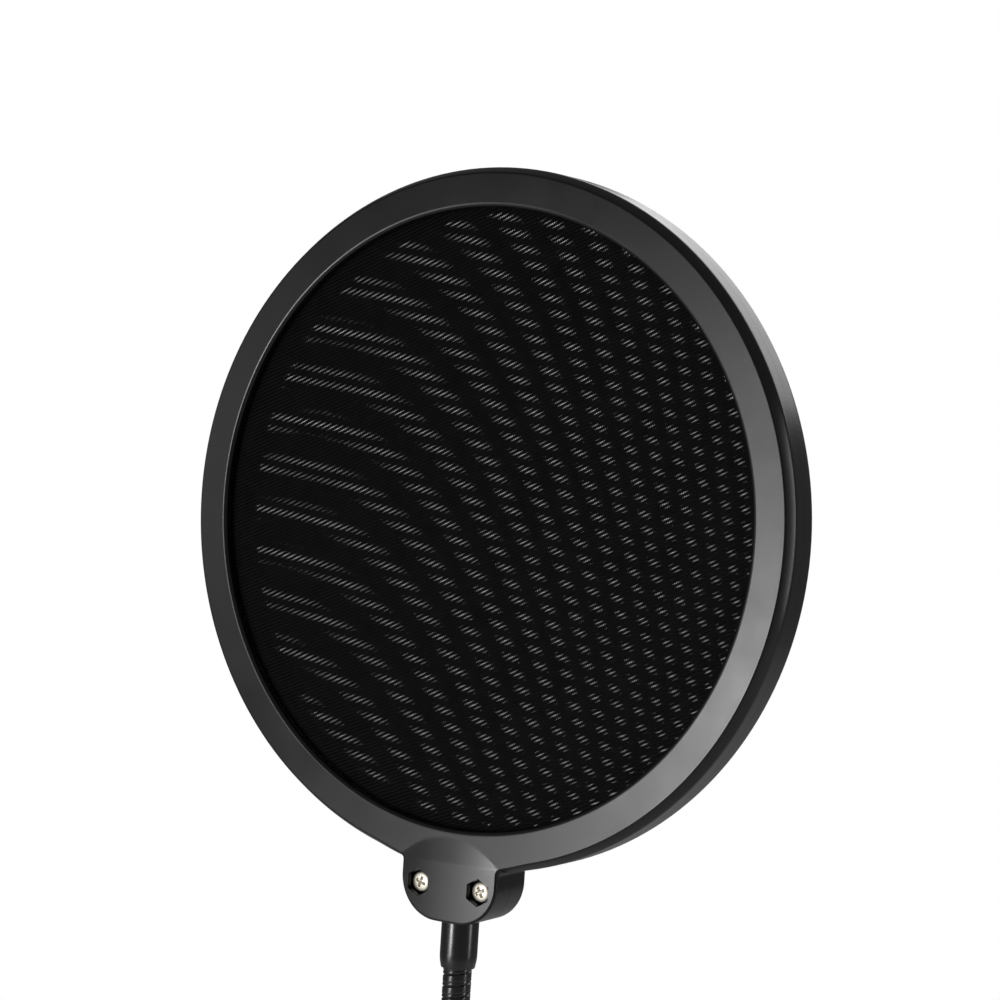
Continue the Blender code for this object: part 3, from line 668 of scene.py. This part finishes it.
def clamp_frame():
    """Moulded C frame: the outline carried across its width, with rounded edges and both flanks sunk
    between a raised border; then the seats for the pad, nut, stud and threaded bush are cut."""
    outline, inward = clamp_outline()
    half, edge, border, sunk = 11 * MM, 1.5 * MM, 2.5 * MM, 1.6 * MM
    turn = np.linspace(0, math.pi / 2, 7)
    inset = np.concatenate([[border + 0.5 * MM, border + 0.1 * MM, border], edge * (1 - np.sin(turn))])
    width = np.concatenate([[half - sunk, half - sunk + 0.15 * MM, half], half - edge * (1 - np.cos(turn))])
    inset = np.concatenate([inset, inset[::-1]])
    width = np.concatenate([-width, width[::-1]])
    flat = outline[None] + inward[None] * inset[:, None, None]
    grid = np.stack([np.broadcast_to(width[:, None], flat.shape[:2]), flat[..., 0], flat[..., 1]], axis=-1)
    body = build("clamp_body", [(grid, False, True, True)], sharp=34)
    pad_low, pad_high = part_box("fixed_jaw_pad")
    gap = 0.3 * MM
    corner = np.array([[-1, -1], [1, -1], [1, 1], [-1, 1]])
    middle = np.array([(pad_low.x + pad_high.x) / 2, (pad_low.y + pad_high.y) / 2])
    reach = np.array([(pad_high.x - pad_low.x) / 2 + gap, (pad_high.y - pad_low.y) / 2 + gap])
    level = np.array([-2 * MM, pad_high.z + gap])
    seat = np.concatenate([np.broadcast_to(middle + corner * reach, (2, 4, 2)),
                           np.broadcast_to(level[:, None, None], (2, 4, 1))], axis=-1)
    top, under = span("clamp_body", "z")[1], span("clamp_body", "z")[0]
    low_top = -44 * MM
    cutters = [
        build("pad_seat", [(seat, False, True, True)]),
        round_piece("stud_bore", [(0, 0), (3.3 * MM, 0), (3.3 * MM, top + 2 * MM), (0, top + 2 * MM)], 0, 48,
                    closed=False),
        round_piece("nut_seat", [(0, 0), (6.1 * MM, 0), (6.1 * MM, 7.6 * MM), (0, 7.6 * MM)], 0, 6,
                    closed=False),
        round_piece("bush_bore", [(0, under - 2 * MM), (6.3 * MM, under - 2 * MM),
                                  (6.3 * MM, low_top + 2 * MM), (0, low_top + 2 * MM)], 0, 64, closed=False),
        round_piece("flange_seat", [(0, low_top - 2.3 * MM), (8.3 * MM, low_top - 2.3 * MM),
                                    (8.3 * MM, low_top + 2 * MM), (0, low_top + 2 * MM)], 0, 64,
                    closed=False)]
    cut(body, cutters, sharp=34)
    finish(body, CLAMP_ABS, "clamp_moulding", "clamp", "clamp_body")


def fixed_pad():
    """Ribbed rubber pad: a rectangle with round corners whose underside has ribs from side to side.

    A square grid is pressed into the rounded rectangle near each corner; the rib wave fades out at the
    border, where the face rolls back to the flat upper side."""
    low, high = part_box("fixed_jaw_pad")
    half = np.array([(high.x - low.x) / 2, (high.y - low.y) / 2])
    u, v = np.meshgrid(np.linspace(-1, 1, 49), np.linspace(-1, 1, 157), indexing="ij")
    corner = 2.5 * MM
    x, y = u * half[0], v * half[1]
    past_x = np.clip(np.abs(x) - (half[0] - corner), 0, corner) / corner
    past_y = np.clip(np.abs(y) - (half[1] - corner), 0, corner) / corner
    x = np.sign(x) * (np.abs(x) - past_x * corner + past_x * np.sqrt(1 - past_y ** 2 / 2) * corner)
    y = np.sign(y) * (np.abs(y) - past_y * corner + past_y * np.sqrt(1 - past_x ** 2 / 2) * corner)
    border = np.minimum((1 - np.abs(u)) * half[0], (1 - np.abs(v)) * half[1])
    rib = 0.45 * MM * smooth(0.62, 0.86, np.abs(((y / (2 * MM)) % 1) * 2 - 1))
    roll = 0.35 * MM * (1 - smooth(0, 0.5 * MM, border)) ** 2
    face = np.stack([x, y + (low.y + high.y) / 2, low.z + rib * smooth(0.6 * MM, 1.1 * MM, border) + roll],
                    axis=-1)
    back = face.copy()
    back[..., 2] = high.z
    rim = np.concatenate([face[:, 0], face[-1, 1:], face[-2::-1, -1], face[0, -2:0:-1]])
    wall = np.stack([rim, np.column_stack([rim[:, :2], np.full(len(rim), high.z)])])
    pad = build("fixed_jaw_pad", [(face, False, False), (back, False, False), (wall, False, True)], sharp=40)
    finish(pad, RUBBER, "jaw_rubber", "clamp", "fixed_jaw_pad")


def jaw_parts():
    """Stud and lock nut of the neck, the bush in the lower arm, and the swivelling pressure plate."""
    low, high = span("neck_stud", "z")
    stud = [(0, high), (2.5 * MM, high), (3.0 * MM, high - 0.5 * MM), (3.0 * MM, low + 0.5 * MM),
            (2.5 * MM, low), (0, low)]
    finish(round_piece("neck_stud", stud, 0.1 * MM, 48, closed=False), BRIGHT, "bright_steel", "clamp",
           "neck_stud")
    low, high = span("lock_nut", "z")
    finish(hex_nut("lock_nut", 5.7 * MM, 3.3 * MM, low, high), BRIGHT, "bright_steel", "clamp", "lock_nut")
    under, top = span("threaded_bush", "z")
    bush = [(4.35 * MM, top), (8 * MM, top), (8 * MM, top - 1.7 * MM), (6 * MM, top - 1.7 * MM),
            (6 * MM, under), (4.35 * MM, under)]
    finish(round_piece("threaded_bush", bush, 0.25 * MM, 96), BRIGHT, "bright_steel", "clamp",
           "threaded_bush")
    foot, top = span("pressure_plate", "z")
    plate = [(0, top), (11.5 * MM, top), (11.5 * MM, top - 2.0 * MM), (7.2 * MM, top - 3.4 * MM),
             (6.4 * MM, foot), (3.3 * MM, foot), (3.3 * MM, foot + 1.4 * MM), (4.7 * MM, foot + 1.4 * MM),
             (4.7 * MM, foot + 4.4 * MM), (0, foot + 4.4 * MM)]
    reach = [0, 0.5 * MM, 0.6 * MM, 1.6 * MM, 0.5 * MM, 0.3 * MM, 0.1 * MM, 0.1 * MM, 0.1 * MM, 0]
    finish(round_piece("pressure_plate", plate, reach, 96, closed=False), PLATE_ZINC, "plate_zinc", "plate",
           "pressure_plate")
    low, high = span("moving_jaw_pad", "z")
    radius = span("moving_jaw_pad", "x")[1]
    ribs = [(0, high)]
    for k in range(5):
        ring = (1.6 + 2 * k) * MM
        ribs += [(ring, high), (ring + 0.3 * MM, high - 0.45 * MM), (ring + 0.7 * MM, high - 0.45 * MM),
                 (ring + 1.0 * MM, high)]
    ribs += [(radius - 0.3 * MM, high), (radius, high - 0.4 * MM), (radius, low), (0, low)]
    finish(round_piece("moving_jaw_pad", ribs, 0.18 * MM, 96, closed=False), RUBBER, "jaw_rubber", "plate",
           "moving_jaw_pad")


def clamp_screw():
    """M8 screw: a swivel tip, a shank whose radius carries a right-handed thread, and a hexagon head.

    The thread is a rounded ridge that climbs one pitch a turn and fades out at its upper end."""
    high = span("clamp_screw", "z")[1]
    foot = JOINTS["clamp_screw_turn"]["pos_m"][2]
    head_low = span("clamp_knob", "z")[1] - 1.5 * MM - 5 * MM
    thread_top, thread_foot = foot - 2.2 * MM, head_low + 5.2 * MM
    steps, rows_a_turn = 40, 9
    angle = angles(steps)
    rows = int((thread_top - thread_foot) / PITCH * rows_a_turn)
    height = np.linspace(thread_top, thread_foot, rows)[:, None]
    groove = np.abs(((height / PITCH - angle / TAU) % 1) * 2 - 1)
    fade = smooth(0, 1.2 * MM, thread_top - height)
    shank = 3.9 * MM - 0.72 * MM * smooth(0.15, 0.9, groove) * fade - 0.35 * MM * (1 - fade)
    tip = rounded([(0, high), (3.8 * MM, high), (4.4 * MM, high - 0.7 * MM), (4.4 * MM, high - 2.4 * MM),
                   (3.0 * MM, high - 2.4 * MM), (3.0 * MM, foot - 1.2 * MM)], 0.2 * MM)
    six = hexagon(angle, 7.3 * MM)
    head = [(0.93 * six, head_low + 5 * MM), (six, head_low + 4.6 * MM), (six, head_low + 0.4 * MM),
            (0.93 * six, head_low), (0, head_low)]
    grid = turned([*tip, (shank, height), *head], steps)
    piece = build("clamp_screw", [(grid, False, True)], sharp=45)
    finish(piece, BRIGHT, "bright_steel", "screw", "clamp_screw")


def knob():
    """Lobed grip, one closed grid of rows: down the outside with eight lobes that fade towards the
    middle, then up the cap's seat, the head's hexagonal pocket and the screw's bore."""
    low, high = span("clamp_knob", "z")
    steps = 192
    angle = angles(steps)
    lobes = 15 * MM - 1.1 * MM * (1 - np.cos(8 * angle)) / 2
    core, edge, floor, pocket_top = 8.2 * MM, 1.8 * MM, low + 3.3 * MM, high - 1.2 * MM
    corner = np.linspace(0, math.pi / 2, 7)[:, None]
    six = hexagon(angle, 7.6 * MM)
    rows = [(4.2 * MM, high - 0.3 * MM), (4.5 * MM, high), (6.6 * MM, high), (7.4 * MM, high - 0.5 * MM)]
    rows += [(core + (lobes - core) * share, high - drop)
             for share, drop in ((0.0, 1.4 * MM), (0.25, 1.3 * MM), (0.55, 0.8 * MM))]
    rows += [(lobes - edge * (1 - np.sin(corner)), high - 0.6 * MM - edge * (1 - np.cos(corner))),
             (lobes, (high + low) / 2),
             (lobes - edge * (1 - np.cos(corner)), low + edge * (1 - np.sin(corner))),
             (9.9 * MM, low), (9.4 * MM, low + 0.25 * MM), (9.3 * MM, floor), (six, floor),
             (six, pocket_top), (4.2 * MM, pocket_top)]
    grip = build("clamp_knob", [(turned(rows, steps), True, True)], sharp=40)
    finish(grip, KNOB_ABS, "knob_moulding", "screw", "clamp_knob")
    cap_low, cap_high = span("knob_cap", "z")
    cap = [(0, cap_high), (9 * MM, cap_high), (9 * MM, cap_low + 0.5 * MM), (8.4 * MM, cap_low),
           (7.4 * MM, cap_low), (6.9 * MM, cap_low + 0.35 * MM), (0, cap_low + 0.35 * MM)]
    finish(round_piece("knob_cap", cap, 0.25 * MM, 96, closed=False), KNOB_ABS, "knob_moulding", "screw",
           "knob_cap")


# ------------------------------------------------------------------ studio
# name, azimuth and elevation in degrees, distance and size in metres, radiance
LAMPS = [("key_low", -20, -10, 1.3, (0.23, 0.23), 18.5),
         ("key_fade", -21, 0, 1.3, (0.27, 0.23), 4.6),
         ("low_left", -30, -18, 1.3, (0.25, 0.25), 2.6),
         ("side_left", -47, 0, 1.3, (0.4, 0.3), 0.8),
         ("strip_right", 101, 4, 1.2, (0.14, 0.9), 5.0),
         ("panel_back", 178, 33, 1.6, (1.5, 0.8), 1.9)]


def softbox(name, azimuth, elevation, distance, size, radiance):
    """Rectangular lamp that looks at the head's centre from azimuth and elevation."""
    a, e = math.radians(azimuth), math.radians(elevation)
    back = Vector((math.sin(a) * math.cos(e), -math.cos(a) * math.cos(e), math.sin(e)))
    data = bpy.data.lights.new(name, "AREA")
    data.shape = "RECTANGLE"
    data.size, data.size_y = size
    data.energy = radiance * math.pi * size[0] * size[1]
    lamp = bpy.data.objects.new(name, data)
    lamp.location = Vector((0, 0, HEAD_Z)) + back * distance
    lamp.rotation_mode = "QUATERNION"
    lamp.rotation_quaternion = back.to_track_quat("Z", "Y")
    lamp.visible_camera = False
    bpy.context.scene.collection.objects.link(lamp)


def studio():
    """Pale floor, white surroundings for the eye, dim ones for the object, and six soft lamps."""
    scene = bpy.context.scene
    scene.view_settings.view_transform = "Standard"
    world = bpy.data.worlds.new("studio")
    scene.world = world
    world.use_nodes = True
    nodes, links = world.node_tree.nodes, world.node_tree.links
    backdrop = nodes["Background"]
    path = nodes.new("ShaderNodeLightPath")
    level = nodes.new("ShaderNodeMapRange")
    level.inputs["To Min"].default_value = 0.13
    level.inputs["To Max"].default_value = 1.0
    links.new(path.outputs["Is Camera Ray"], level.inputs["Value"])
    links.new(level.outputs["Result"], backdrop.inputs["Strength"])
    backdrop.inputs["Color"].default_value = (1, 1, 1, 1)
    material = mottled("pale_floor", ("#e9e9e7", "#efefed", 250 * MM, 2), Roughness=0.9,
                       Specular_IOR_Level=0.1)
    ground = span("clamp_knob", "z")[0] - 0.1 * MM
    floor = build("floor", [(turned([(r, ground) for r in (0, 0.4, 1.0, 1.7)], 96), False, True)])
    floor.data.materials.append(material)
    for lamp in LAMPS:
        softbox(*lamp)


close_camera()
filter_head()
gooseneck()
ferrules()
clamp_frame()
fixed_pad()
jaw_parts()
clamp_screw()
knob()
studio()
